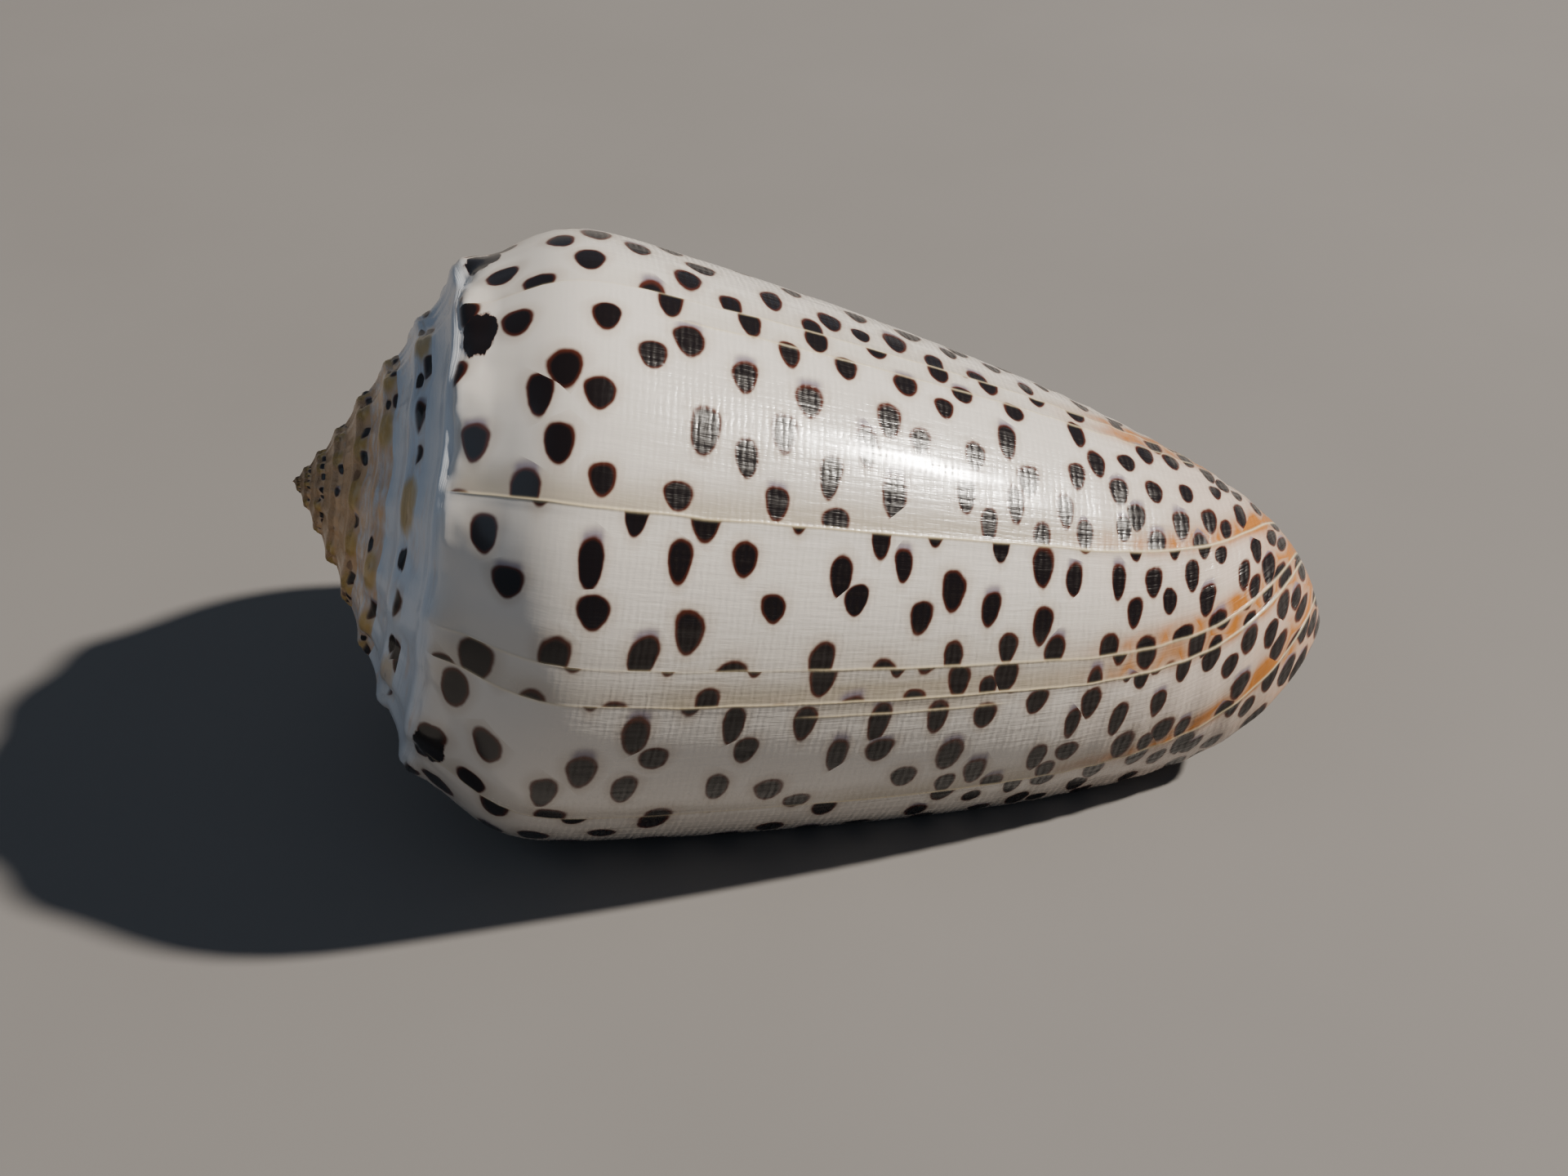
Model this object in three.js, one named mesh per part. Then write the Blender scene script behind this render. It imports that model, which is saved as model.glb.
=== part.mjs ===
// A cone shell (a sea snail's shell), lying on its aperture as it comes to rest on a flat surface.
// Millimetres, +Z up. The long axis runs along X, with the pointed spire at -X and the base end at +X.
//
// The shell is one wall, grown turn after turn round the axis. A place on it is given by a turn, which
// is 0 at the lip and negative in older growth, and by where it lies on the growing edge: first across
// the ramp, from the suture out to the shoulder, and then down the side, from the shoulder to the base
// end. Each new turn covers the side of the turn before it up to just below that turn's shoulder, so
// that only the ramps show in the spire.

import * as THREE from 'three';
import { mergeVertices } from 'three/addons/utils/BufferGeometryUtils.js';

// Sizes, in millimetres
const LENGTH = 50;
const SHOULDER_RADIUS = 16.3;
const SPIRE_HEIGHT = 6.5;
const BASE_TIP_RADIUS = 1;
const BASE_TIP_DEPTH = 1.4;
const WALL = 1;
const NODULE = 0.4;
const RAMP_HOLLOW = 0.3;

// Which way a nodule stands out: towards the spire, and away from the axis
const NODULE_LEAN = 0.8;
const NODULE_SPREAD = 0.6;

// Growth, in turns
const TURNS_TO_VANISH = 8.65;
const FIRST_TURN = -7.5;
const PASSAGE_STEPS = 31;
const NODULES_PER_TURN = 13;

// How fast each measure grows with the size of the turn, as powers of the scale
const SHOULDER_POWER = 0.95;
const BASE_POWER = 0.45;

// The side's outline: how straight it runs, how blunt its end is, and how far the shoulder tucks in
const SIDE_BEND = 1;
const SIDE_BLUNTNESS = 0.386;
const SHOULDER_TUCK = 0.23;
const TUCK_REACH = 0.086;

// The pillar round which the turns are wound, as a share of the base end's radius
const PILLAR_SHARE = 0.27;
const PILLAR_TURN = 0.86;
const PILLAR_SHARPNESS = 5;
const PILLAR_START = 0.35;

// How far the growing edge lags behind the lip towards the base end, in turns
const SIDE_LAG = 0.045;
const END_LAG = 0.22;
const END_LAG_POWER = 14;

// Places down the side, from 0 at the shoulder to 1 at the base end
const SUTURE = 0.018;
const FOOT = 0.05;
const ZIP_START = 0.95;
const NODULE_REACH = 0.03;

// The resting pose: the lip's angle from straight down, and how far the base end dips
const LIP_ANGLE = THREE.MathUtils.degToRad(39.7);
const BASE_DIP = THREE.MathUtils.degToRad(13.2);

// The grid. Four steps to a nodule put a point on each top and in each hollow.
const STEPS_PER_TURN = 4 * NODULES_PER_TURN;
const RAMP_ROWS = 3;
const SIDE_ROWS = [
  0, SUTURE, FOOT, 0.085, 0.125, 0.175, 0.23, 0.3, 0.38, 0.46,
  0.54, 0.62, 0.69, 0.76, 0.82, 0.87, 0.91, 0.94, 0.965, 0.985, 1,
];
const SUTURE_ROW = SIDE_ROWS.indexOf(SUTURE);
const FOOT_ROW = SIDE_ROWS.indexOf(FOOT);

const mix = (a, b, share) => a + (b - a) * share;
const smooth = (low, high, value) => THREE.MathUtils.smoothstep(value, low, high);
const scaleAt = (turn) => (1 + turn / TURNS_TO_VANISH) ** 2;

function mixPlaces(a, b, share) {
  return {
    x: mix(a.x, b.x, share),
    radius: mix(a.radius, b.radius, share),
    turn: mix(a.turn, b.turn, share),
  };
}

function lagAt(down) {
  return -(SIDE_LAG * down ** 2 + END_LAG * down ** END_LAG_POWER);
}

// The radius of the last turn's side, before the older growth's own scale.
function sideRadius(down) {
  const body = (SHOULDER_RADIUS - BASE_TIP_RADIUS) * (1 - down ** SIDE_BEND) ** SIDE_BLUNTNESS;
  const tuck = 1 - SHOULDER_TUCK * Math.exp(-((down / TUCK_REACH) ** 2));
  return (BASE_TIP_RADIUS + body) * tuck;
}

// Towards the base end, older growth winds in to the pillar faster than the shoulder does.
function pillarShare(turn, down) {
  const wound = 1 / (1 + (Math.max(-turn, 0) / PILLAR_TURN) ** PILLAR_SHARPNESS);
  const share = mix(PILLAR_SHARE, 1, wound);
  return mix(1, share, smooth(PILLAR_START, 1, down));
}

function plainSide(turn, down) {
  const scale = scaleAt(turn);
  const shoulder = SPIRE_HEIGHT * scale ** SHOULDER_POWER;
  return {
    x: mix(shoulder, LENGTH * scale ** BASE_POWER, down),
    radius: sideRadius(down) * scale * pillarShare(turn, down),
    turn: turn + lagAt(down),
  };
}

// How high a nodule stands at this turn: 0 in the hollows between them.
function noduleAt(turn) {
  const wave = 0.5 + 0.5 * Math.cos(2 * Math.PI * NODULES_PER_TURN * turn);
  return NODULE * Math.sqrt(scaleAt(turn)) * wave;
}

function side(turn, down) {
  const place = plainSide(turn, down);
  const rise = noduleAt(turn) * Math.exp(-((down / NODULE_REACH) ** 2));
  return {
    x: place.x - NODULE_LEAN * rise,
    radius: place.radius + NODULE_SPREAD * rise,
    turn: place.turn,
  };
}

// The ramp, from the suture (across = 0) to the shoulder (across = 1).
function ramp(turn, across) {
  const suture = side(turn - 1, SUTURE);
  const plain = plainSide(turn, 0);
  const shoulder = side(turn, 0);
  const grown = across ** 3;
  const sag = RAMP_HOLLOW * scaleAt(turn) * Math.sin(Math.PI * across);
  return {
    x: mix(suture.x, plain.x, across) + (shoulder.x - plain.x) * grown + sag,
    radius: mix(suture.radius, plain.radius, across) + (shoulder.radius - plain.radius) * grown,
    turn: mix(suture.turn + 1, plain.turn, across),
  };
}

// The inside of the wall. It closes on the pillar at the base end.
function innerSide(turn, down) {
  const outer = plainSide(turn, down);
  const hollow = { x: outer.x + WALL * (1 - down), radius: outer.radius - WALL, turn: outer.turn };
  const pillar = { ...side(turn - 1, down), turn: outer.turn };
  return mixPlaces(hollow, pillar, smooth(ZIP_START, 1, down));
}

function innerRamp(turn, across) {
  const foot = side(turn - 1, FOOT);
  return mixPlaces({ ...foot, turn: foot.turn + 1 }, innerSide(turn, 0), across);
}

// Rows along the growing edge: the ramp's first, and then the side's.
function outerRow(turn, row) {
  if (row < RAMP_ROWS) return ramp(turn, row / RAMP_ROWS);
  return side(turn, SIDE_ROWS[row - RAMP_ROWS]);
}

function innerRow(turn, row) {
  if (row < RAMP_ROWS) return innerRamp(turn, row / RAMP_ROWS);
  return innerSide(turn, SIDE_ROWS[row - RAMP_ROWS]);
}

// The floor of the passage is the side of the turn before, below the foot of the wall.
function floorRow(turn, row) {
  return side(turn - 1, SIDE_ROWS[Math.max(row - RAMP_ROWS, FOOT_ROW)]);
}

function toPoint({ x, radius, turn }) {
  const angle = LIP_ANGLE - 2 * Math.PI * turn;
  return new THREE.Vector3(x, -radius * Math.sin(angle), -radius * Math.cos(angle));
}

const LAST_ROW = RAMP_ROWS + SIDE_ROWS.length - 1;
const FIRST_STEP = Math.round(FIRST_TURN * STEPS_PER_TURN);
const turnAt = (step) => step / STEPS_PER_TURN;

function addTriangle(triangles, a, b, c) {
  const corners = [a, b, c];
  const short = corners.some((corner, i) => corner.distanceTo(corners[(i + 1) % 3]) < 1e-5);
  if (!short) triangles.push(...corners);
}

// A sheet of quads between two lists of points of the same length.
function addStrip(triangles, one, other) {
  for (let i = 0; i + 1 < one.length; i += 1) {
    addTriangle(triangles, one[i], other[i], other[i + 1]);
    addTriangle(triangles, one[i], other[i + 1], one[i + 1]);
  }
}

function addFan(triangles, rim, centre) {
  for (let i = 0; i + 1 < rim.length; i += 1) {
    addTriangle(triangles, centre, rim[i + 1], rim[i]);
  }
}

function edge(rowAt, step, firstRow, lastRow) {
  const points = [];
  for (let row = firstRow; row <= lastRow; row += 1) {
    points.push(toPoint(rowAt(turnAt(step), row)));
  }
  return points;
}

function addSheet(triangles, rowAt, steps, rows, inwards) {
  for (let step = steps[0]; step < steps[1]; step += 1) {
    const older = edge(rowAt, step, rows[0], rows[1]);
    const newer = edge(rowAt, step + 1, rows[0], rows[1]);
    if (inwards) addStrip(triangles, newer, older);
    else addStrip(triangles, older, newer);
  }
}

function along(rowAt, row, steps) {
  const points = [];
  for (let step = steps[0]; step <= steps[1]; step += 1) {
    points.push(toPoint(rowAt(turnAt(step), row)));
  }
  return points;
}

// The first turn's own suture has nothing inside it, so it closes on the tip of the spire.
function addSpireTip(triangles) {
  const rim = along(outerRow, 0, [FIRST_STEP, FIRST_STEP + STEPS_PER_TURN]);
  const start = edge(outerRow, FIRST_STEP, 0, RAMP_ROWS + SUTURE_ROW).reverse();
  addFan(triangles, [...rim, ...start], new THREE.Vector3(0, 0, 0));
}

function addBaseTip(triangles) {
  const rim = along(outerRow, LAST_ROW, [-STEPS_PER_TURN, 0]).reverse();
  const centre = new THREE.Vector3(LENGTH - BASE_TIP_DEPTH, 0, 0);
  addFan(triangles, [...rim, rim[0]], centre);
}

function shellTriangles() {
  const triangles = [];
  const lastTurn = [-STEPS_PER_TURN, 0];
  const passage = [-PASSAGE_STEPS, 0];
  addSheet(triangles, outerRow, [FIRST_STEP, -STEPS_PER_TURN], [0, RAMP_ROWS + SUTURE_ROW], false);
  addSheet(triangles, outerRow, lastTurn, [0, LAST_ROW], false);
  addSheet(triangles, innerRow, passage, [0, LAST_ROW], true);
  addSheet(triangles, floorRow, passage, [RAMP_ROWS + FOOT_ROW, LAST_ROW], false);
  addStrip(triangles, edge(outerRow, 0, 0, LAST_ROW), edge(innerRow, 0, 0, LAST_ROW));
  const back = -PASSAGE_STEPS;
  addStrip(triangles, edge(innerRow, back, 0, LAST_ROW), edge(floorRow, back, 0, LAST_ROW));
  addSpireTip(triangles);
  addBaseTip(triangles);
  return triangles;
}

function shellGeometry() {
  const soup = new THREE.BufferGeometry().setFromPoints(shellTriangles());
  soup.translate(-LENGTH / 2, 0, 0);
  soup.rotateY(BASE_DIP);
  const geometry = mergeVertices(soup, 1e-4);
  geometry.computeBoundingBox();
  const box = geometry.boundingBox;
  const middle = box.getCenter(new THREE.Vector3());
  geometry.translate(-middle.x, -middle.y, -box.min.z);
  geometry.computeVertexNormals();
  return geometry;
}

const glossyShell = new THREE.MeshStandardMaterial({
  color: 0xe9e2d8,
  roughness: 0.22,
  metalness: 0,
});

const shell = new THREE.Mesh(shellGeometry(), glossyShell);
shell.name = 'shell';

const coneShell = new THREE.Group();
coneShell.add(shell);

export default coneShell;
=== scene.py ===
"""A cone shell at rest on its aperture: a heavy glossy white shell with brown spots and a low knobbly spire.

The shell is one wall, grown turn after turn round its axis. A place on it is given by a turn, which is 0 at
the lip and negative in older growth, and by where it lies on the growing edge: first across the ramp, from
the suture out to the shoulder, and then down the side, from the shoulder to the base end.
"""

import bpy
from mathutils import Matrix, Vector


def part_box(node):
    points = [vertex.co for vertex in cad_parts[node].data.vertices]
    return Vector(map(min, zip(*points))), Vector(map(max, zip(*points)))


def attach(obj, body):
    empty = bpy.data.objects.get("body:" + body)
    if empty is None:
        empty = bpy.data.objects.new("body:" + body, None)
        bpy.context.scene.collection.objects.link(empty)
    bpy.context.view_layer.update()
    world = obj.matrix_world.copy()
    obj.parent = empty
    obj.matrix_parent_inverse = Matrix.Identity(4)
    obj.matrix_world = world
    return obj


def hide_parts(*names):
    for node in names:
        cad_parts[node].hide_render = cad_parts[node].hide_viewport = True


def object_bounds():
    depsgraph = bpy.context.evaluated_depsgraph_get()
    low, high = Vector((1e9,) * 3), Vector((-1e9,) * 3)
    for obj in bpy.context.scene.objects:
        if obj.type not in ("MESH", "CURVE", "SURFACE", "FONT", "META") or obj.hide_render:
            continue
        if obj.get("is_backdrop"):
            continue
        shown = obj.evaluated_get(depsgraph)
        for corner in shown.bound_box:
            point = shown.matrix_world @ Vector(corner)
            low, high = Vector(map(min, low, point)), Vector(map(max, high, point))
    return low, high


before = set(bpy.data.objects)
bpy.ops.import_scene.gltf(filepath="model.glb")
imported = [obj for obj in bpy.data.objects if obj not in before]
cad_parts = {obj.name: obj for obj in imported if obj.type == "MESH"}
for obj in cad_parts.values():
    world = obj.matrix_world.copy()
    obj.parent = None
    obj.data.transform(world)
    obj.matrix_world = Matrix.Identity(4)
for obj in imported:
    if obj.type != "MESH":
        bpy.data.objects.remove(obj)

import inspect
import math
from collections import namedtuple
from functools import partialmethod

import bpy
from bpy.props import FloatProperty, FloatVectorProperty, IntProperty, PointerProperty
from mathutils import Matrix, Vector

bl_info = {
    "name": "Cone Shell",
    "version": (1, 0, 0),
    "blender": (4, 5, 0),
    "location": "3D View > Sidebar > Cone Shell",
    "description": "Grows a spotted cone shell and sets it on a pale floor in soft light",
    "category": "Object",
}

NODE = "shell"
BODY = "root"
CAD_LOW, CAD_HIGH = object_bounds()
SHELL_LOW, SHELL_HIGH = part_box(NODE)

# The grid. The steps of one turn are a whole number for each nodule, so that each turn meets the next.
STEPS_PER_NODULE = 24
RAMP_ROWS = 8
NECK_ROWS = 4
COLLAR_ROWS = 4
FLANK_ROWS = 86
TIP_ROWS = 6

# How much the flank's rows crowd towards the base end, and how near each other corners are merged
END_CROWDING = 1.7
WELD = 2e-7

# The names of the marks that the surface carries for its colours
TURN = "turn"
DOWN = "down"
INSIDE = "inside"
GIRTH = "girth"

# The ramp's width, measured as if the side's own scale ran on over the shoulder
RAMP_SPAN = 0.07

# The shoulder: how far its rounding reaches down the side and across the ramp, how far down the side its
# lumps reach, and how far a nodule stands up and leans out
ROUNDING_DOWN = 0.032
ROUNDING_ACROSS = 0.36
LUMPS_DOWN = 0.06
NODULE_UP = 0.6
NODULE_OUT = 0.8

# Half of a growth ridge's width in steps of the grid, and the lip's bulge as a share of the wall
RIDGE_STEPS = 1.2
LIP_BULGE = 0.45

# The spots lie in diagonal rows: how many round one turn, how many down the side, how many more crowd in
# towards the base end, and how late they do
SPOTS_AROUND = 30
SPOTS_DOWN = 15
SPOTS_AT_END = 8
SPOTS_CROWDING = 3.4

# How far the pattern of spots shifts at each full growth line, and the sine of half a right angle
SHIFT_AROUND = 2.61
SHIFT_DOWN = 5.37
DIAGONAL = 0.7071

# The large blotches in one turn
BLOTCHES = 11

# Millimetres in a metre
MILLIMETRES = 1000

# In millimetres: how wide a growth line, its dull band and its tint are, and how far back the tint lies
LINE_WIDTH = 0.075
BAND_WIDTH = 2.1
TINT_WIDTH = 0.55
TINT_BACK = 0.35

# In millimetres: the side's length, the last turn's girth and the spacing of the finest threads
SIDE_LENGTH = 46
TURN_LENGTH = 100
THREAD_SPACING = 0.34

# A place: how far along the axis and from it, and its turn. A zone of the growing edge: its rows, what
# gives its places outside and inside, and what gives its measure down the side.
Place = namedtuple("Place", "x radius turn")
Zone = namedtuple("Zone", "rows outer inner down")

# Where the surface lies in the pattern of spots and from the nearest one, and that one's random numbers
Spot = namedtuple("Spot", "around along newer lower long wide chance")

# A line where growth paused: its turn, where it starts and ends down the side, how far it stands up as a
# share of the full height, and how much of a dull band lies behind it.
GrowthLine = namedtuple("GrowthLine", "turn start end height band")
GROWTH_LINES = [GrowthLine(*row) for row in (
    (-0.900, 0.10, 1.2, 0.6, 0.5),
    (-0.811, 0.30, 1.2, 0.8, 0.3),
    (-0.699, 0.05, 1.2, 0.7, 0.7),
    (-0.638, 0.35, 0.9, 0.5, 0.2),
    (-0.519, 0.15, 1.2, 0.8, 0.5),
    (-0.455, 0.40, 1.2, 0.5, 0.4),
    (-0.372, 0.30, 1.2, 0.6, 0.4),
    (-0.353, 0.22, 0.9, 0.6, 0.3),
    (-0.244, 0.01, 1.2, 1.0, 0.9),
    (-0.167, 0.40, 1.2, 0.8, 0.4),
    (-0.147, 0.24, 1.2, 1.0, 1.0),
    (-0.138, 0.40, 0.6, 0.8, 0.7),
    (-0.061, 0.45, 1.2, 0.9, 0.8),
)]

# The lights: how far away and how wide they are, in metres, and their colours
Lamp = namedtuple("Lamp", "name distance width colour")
KEY = Lamp("key", 1.5, 0.08, (1.0, 0.93, 0.83))
FILL = Lamp("cool_fill", 0.5, 0.4, (0.62, 0.80, 1.0))
SKY_COLOUR = (0.68, 0.80, 1.0, 1.0)


def number_prop(name, description, default):
    return FloatProperty(name=name, description=description, default=default)


def length_prop(name, description, default):
    return FloatProperty(name=name, description=description, default=default, unit="LENGTH")


def angle_prop(name, description, degrees):
    default = math.radians(degrees)
    return FloatProperty(name=name, description=description, default=default, subtype="ANGLE")


def colour_prop(name, description, default):
    return FloatVectorProperty(name=name, description=description, default=default, subtype="COLOR")


class ShellForm(bpy.types.PropertyGroup):
    """The shell's sizes and the rule it grows by."""

    length: length_prop("Length", "From the tip of the spire to the base end, along the axis", 0.050)
    shoulder_radius: length_prop(
        "Shoulder radius", "The last turn's radius before its shoulder tucks in", 0.0163)
    spire_height: length_prop("Spire height", "From the last shoulder to the tip of the spire", 0.0065)
    base_radius: length_prop("Base radius", "The radius left open round the axis at the base end", 0.001)
    base_depth: length_prop("Base depth", "How far the middle of the base end is sunk", 0.0014)
    wall: length_prop("Wall", "The wall's thickness", 0.001)
    nodule: length_prop("Nodule", "How far a nodule stands up on the last shoulder", 0.0004)
    ramp_hollow: length_prop(
        "Ramp hollow", "How far the ramp sags between the suture and the shoulder", 0.0003)
    rounding: length_prop("Rounding", "How far the shoulder's edge is rounded off", 0.0005)
    lumps: length_prop("Lumps", "Height of the uneven swelling along the shoulder", 0.0013)
    ridge: length_prop("Growth ridge", "How far a growth line stands up", 0.00006)
    rib: length_prop("Spiral rib", "How far the ribs round the base end stand up", 0.000035)
    swell: length_prop("Swell", "How uneven the side is in its broad form", 0.00012)
    turns_to_vanish: number_prop(
        "Turns to vanish", "Turns before the lip at which the shell would have no size", 8.65)
    first_turn: number_prop("First turn", "The oldest growth that is made", -7.5)
    passage: number_prop("Passage", "How many turns the open passage reaches in from the lip", 31 / 52)
    nodules: IntProperty(name="Nodules", description="Nodules in one turn", default=13)
    ribs: IntProperty(name="Ribs", description="Spiral ribs down the whole side", default=27)
    shoulder_power: number_prop(
        "Shoulder growth", "Power of the scale that the spire's height follows", 0.95)
    base_power: number_prop("Base growth", "Power of the scale that the length follows", 0.45)
    bluntness: number_prop("Bluntness", "Power that rounds off the base end; less is blunter", 0.386)
    tuck: number_prop("Shoulder tuck", "How far the shoulder tucks in, as a share of the radius", 0.23)
    tuck_reach: number_prop("Tuck reach", "How far down the side the tuck reaches, as a share", 0.086)
    pillar_share: number_prop("Pillar", "The pillar's share of the base end's radius", 0.27)
    pillar_turn: number_prop("Pillar turn", "Turns over which the base end winds in to the pillar", 0.86)
    pillar_start: number_prop("Pillar start", "Where down the side the winding in starts", 0.35)
    side_lag: number_prop("Side lag", "Turns by which the lip's lower half lags behind its shoulder", 0.045)
    end_lag: number_prop("End lag", "Turns by which the lip lags at the base end", 0.22)
    suture: number_prop("Suture", "Where the next turn covers the side", 0.018)
    foot: number_prop("Foot", "Where the next turn's wall ends on the side", 0.05)
    zip_start: number_prop("Zip start", "Where the wall starts to close on the pillar", 0.95)
    nodule_reach: number_prop("Nodule reach", "How far down the side a nodule reaches", 0.03)
    lip_angle: angle_prop("Lip angle", "The lip's angle from straight down, as the shell rests", 39.7)
    base_dip: angle_prop("Base dip", "How far the base end dips, as the shell rests", 13.2)


class ShellColours(bpy.types.PropertyGroup):
    """The shell's colours and finish."""

    body: colour_prop("Body", "The glossy white of the side", (0.74, 0.69, 0.63))
    # The ramp colour is the shell's white with a painted blue tint that stands for cool skylit shade on the
    # ramps.
    ramp: colour_prop("Ramp", "The cool white of the newest ramp", (0.64, 0.70, 0.78))
    spot: colour_prop("Spot", "The heart of a spot", (0.007, 0.0035, 0.003))
    spot_edge: colour_prop("Spot edge", "The thin brown rim of a spot", (0.085, 0.017, 0.006))
    # Painted shade: the halo darkens the white round each spot, standing for light scattered under the
    # glaze.
    halo: colour_prop("Halo", "The faint shade round a spot", (0.50, 0.42, 0.34))
    smear: colour_prop("Smear", "The grey trail behind some spots", (0.17, 0.14, 0.20))
    line: colour_prop("Growth line", "The pale yellow of a growth line", (0.74, 0.62, 0.40))
    band: colour_prop("Dull band", "The dull band behind a growth line", (0.37, 0.31, 0.22))
    base: colour_prop("Base end", "The orange of the base end", (0.42, 0.15, 0.022))
    nodule: colour_prop("Nodule", "The yellow patches on older nodules", (0.56, 0.36, 0.10))
    old: colour_prop("Old spire", "The worn tan of the oldest turns", (0.70, 0.40, 0.17))
    inside: colour_prop("Inside", "The white inside the passage", (0.84, 0.78, 0.70))
    roughness: FloatProperty(
        name="Roughness", description="Roughness of the glossy side", default=0.25, min=0, max=1,
        subtype="FACTOR")
    thread: number_prop("Thread height", "Height of the finest threads, in millimetres", 0.010)


class ShellStage(bpy.types.PropertyGroup):
    """The floor, the lights and the camera."""

    floor: colour_prop("Floor", "The pale floor's colour", (0.225, 0.212, 0.202))
    key_power: number_prop("Key light", "Power of the main light, in watts", 46.0)
    key_elevation: angle_prop("Key elevation", "The main light's height above the horizon", 43.9)
    key_bearing: angle_prop("Key bearing", "The main light's direction, turned from +X towards +Y", 2.4)
    fill_power: number_prop("Cool fill", "Power of the cool light on the spire's side, in watts", 0.15)
    fill_elevation: angle_prop("Fill elevation", "The cool light's height above the horizon", 35)
    fill_bearing: angle_prop("Fill bearing", "The cool light's direction, turned from +X towards +Y", 195)
    sky: number_prop("Sky", "Strength of the light all round", 0.135)
    camera_elevation: angle_prop("Camera elevation", "The camera's height above the horizon", 37.24)
    camera_yaw: angle_prop("Camera yaw", "The camera's direction, turned from -Y towards +X", -3.27)
    camera_roll: angle_prop(
        "Camera roll", "How far the camera is turned round its own line of sight", -1.01)
    camera_distance: length_prop("Camera distance", "From the camera to the point it looks at", 0.110)
    focal_length: number_prop("Focal length", "Of the lens, in millimetres", 55.0)
    aim: FloatVectorProperty(
        name="Aim", description="The point looked at, from the middle of the shell's box",
        default=(-0.00203, -0.00467, -0.00115), subtype="TRANSLATION")


def operator(operation, swapped=False):
    """One of Python's operators, as a Math node. When it is swapped, its own value comes second."""
    def use(self, other):
        values = (other, self) if swapped else (self, other)
        return self.maker.math(operation, *values)
    return use


class Wire:
    """A socket that can stand in an expression. Each operator adds one Math node to its tree."""

    def __init__(self, maker, socket):
        self.maker = maker
        self.socket = socket

    def __neg__(self):
        return self.maker.math("MULTIPLY", self, -1)

    def __abs__(self):
        return self.maker.math("ABSOLUTE", self)

    __add__ = __radd__ = operator("ADD")
    __sub__ = operator("SUBTRACT")
    __rsub__ = operator("SUBTRACT", swapped=True)
    __mul__ = __rmul__ = operator("MULTIPLY")
    __truediv__ = operator("DIVIDE")
    __rtruediv__ = operator("DIVIDE", swapped=True)
    __pow__ = operator("POWER")


class Maker:
    """Adds nodes to one tree."""

    def __init__(self, tree):
        self.tree = tree

    def node(self, kind, settings=None, inputs=None):
        """A node of one kind. Its settings are set first, and then the values or links of its sockets."""
        made = self.tree.nodes.new(kind)
        for name, value in (settings or {}).items():
            setattr(made, name, value)
        for key, value in (inputs or {}).items():
            self.feed(made.inputs[key], value)
        return made

    def feed(self, socket, value):
        if isinstance(value, Wire):
            self.tree.links.new(value.socket, socket)
        else:
            socket.default_value = value

    def wire(self, node, key=0):
        return Wire(self, node.outputs[key])

    def math(self, operation, *values):
        """One Math node. The methods after it each add one kind."""
        return self.wire(self.node("ShaderNodeMath", {"operation": operation}, dict(enumerate(values))))

    sin = partialmethod(math, "SINE")
    cos = partialmethod(math, "COSINE")
    exp = partialmethod(math, "EXPONENT")
    floor = partialmethod(math, "FLOOR")
    above = partialmethod(math, "GREATER_THAN")
    either = partialmethod(math, "MAXIMUM")
    at_least = partialmethod(math, "MAXIMUM")
    at_most = partialmethod(math, "MINIMUM")

    def held(self, value):
        """The value, held between 0 and 1."""
        return self.at_most(self.at_least(value, 0), 1)

    def smooth(self, low, high, value):
        """0 below low, 1 above high, and a smooth step between. With low above high it falls instead."""
        step = self.node(
            "ShaderNodeMapRange", {"interpolation_type": "SMOOTHSTEP"},
            {"Value": value, "From Min": low, "From Max": high})
        return self.wire(step)

    def bell(self, value, width):
        """1 where value is 0, falling off on both sides."""
        return self.exp(-((value / width) ** 2))

    def vector(self, x, y, z=0.0):
        return self.wire(self.node("ShaderNodeCombineXYZ", None, {0: x, 1: y, 2: z}))

    def parts(self, vector):
        split = self.node("ShaderNodeSeparateXYZ", None, {0: vector})
        return [self.wire(split, axis) for axis in range(3)]

    def noise(self, x, y, z=0.0, detail=2.0, roughness=0.5):
        """Smooth noise about 0, from about -0.5 to 0.5."""
        made = self.node(
            "ShaderNodeTexNoise", {"noise_dimensions": "3D"},
            {"Vector": self.vector(x, y, z), "Scale": 1.0, "Detail": detail, "Roughness": roughness})
        return self.wire(made) - 0.5

    def draw(self, index):
        """The random number, from 0 to 1, that belongs to an index."""
        return self.wire(self.node("ShaderNodeTexWhiteNoise", {"noise_dimensions": "1D"}, {"W": index}))

    def blend(self, share, one, other):
        """A colour between two, by share."""
        made = self.node("ShaderNodeMix", {"data_type": "RGBA"}, {0: share, 6: one, 7: other})
        return self.wire(made, 2)


class Inputs:
    """The named inputs of a node group, made as they are first used."""

    def __init__(self, maker, form):
        self.m = maker
        self.form = form
        self.given = maker.node("NodeGroupInput")
        self.names = []

    def add(self, name, kind="NodeSocketFloat"):
        self.names.append(name)
        return self.m.tree.interface.new_socket(name, in_out="INPUT", socket_type=kind)

    def __getitem__(self, name):
        if name not in self.names:
            self.add(name).default_value = getattr(self.form, name, 0.0)
        return self.m.wire(self.given, name)


def mix(a, b, share):
    return a + (b - a) * share


def distance(x, y):
    return (x ** 2 + y ** 2) ** 0.5


def mix_places(one, other, share):
    return Place(*(mix(a, b, share) for a, b in zip(one, other)))


def grouped(function):
    """Makes one of the rule's methods a node group, so that each use of it adds a single node."""
    names = list(inspect.signature(function).parameters)[1:]

    def use(rule, *values):
        if function.__name__ not in rule.groups:
            rule.groups[function.__name__] = group_of(rule, function, names)
        tree = rule.groups[function.__name__]
        node = rule.m.node("GeometryNodeGroup", {"node_tree": tree})
        given = dict(zip(names, values))
        for socket in node.inputs:
            rule.m.feed(socket, given[socket.name] if socket.name in given else rule.sizes[socket.name])
        wires = [rule.m.wire(node, key) for key in range(len(node.outputs))]
        return Place(*wires) if len(wires) > 1 else wires[0]
    return use


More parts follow.
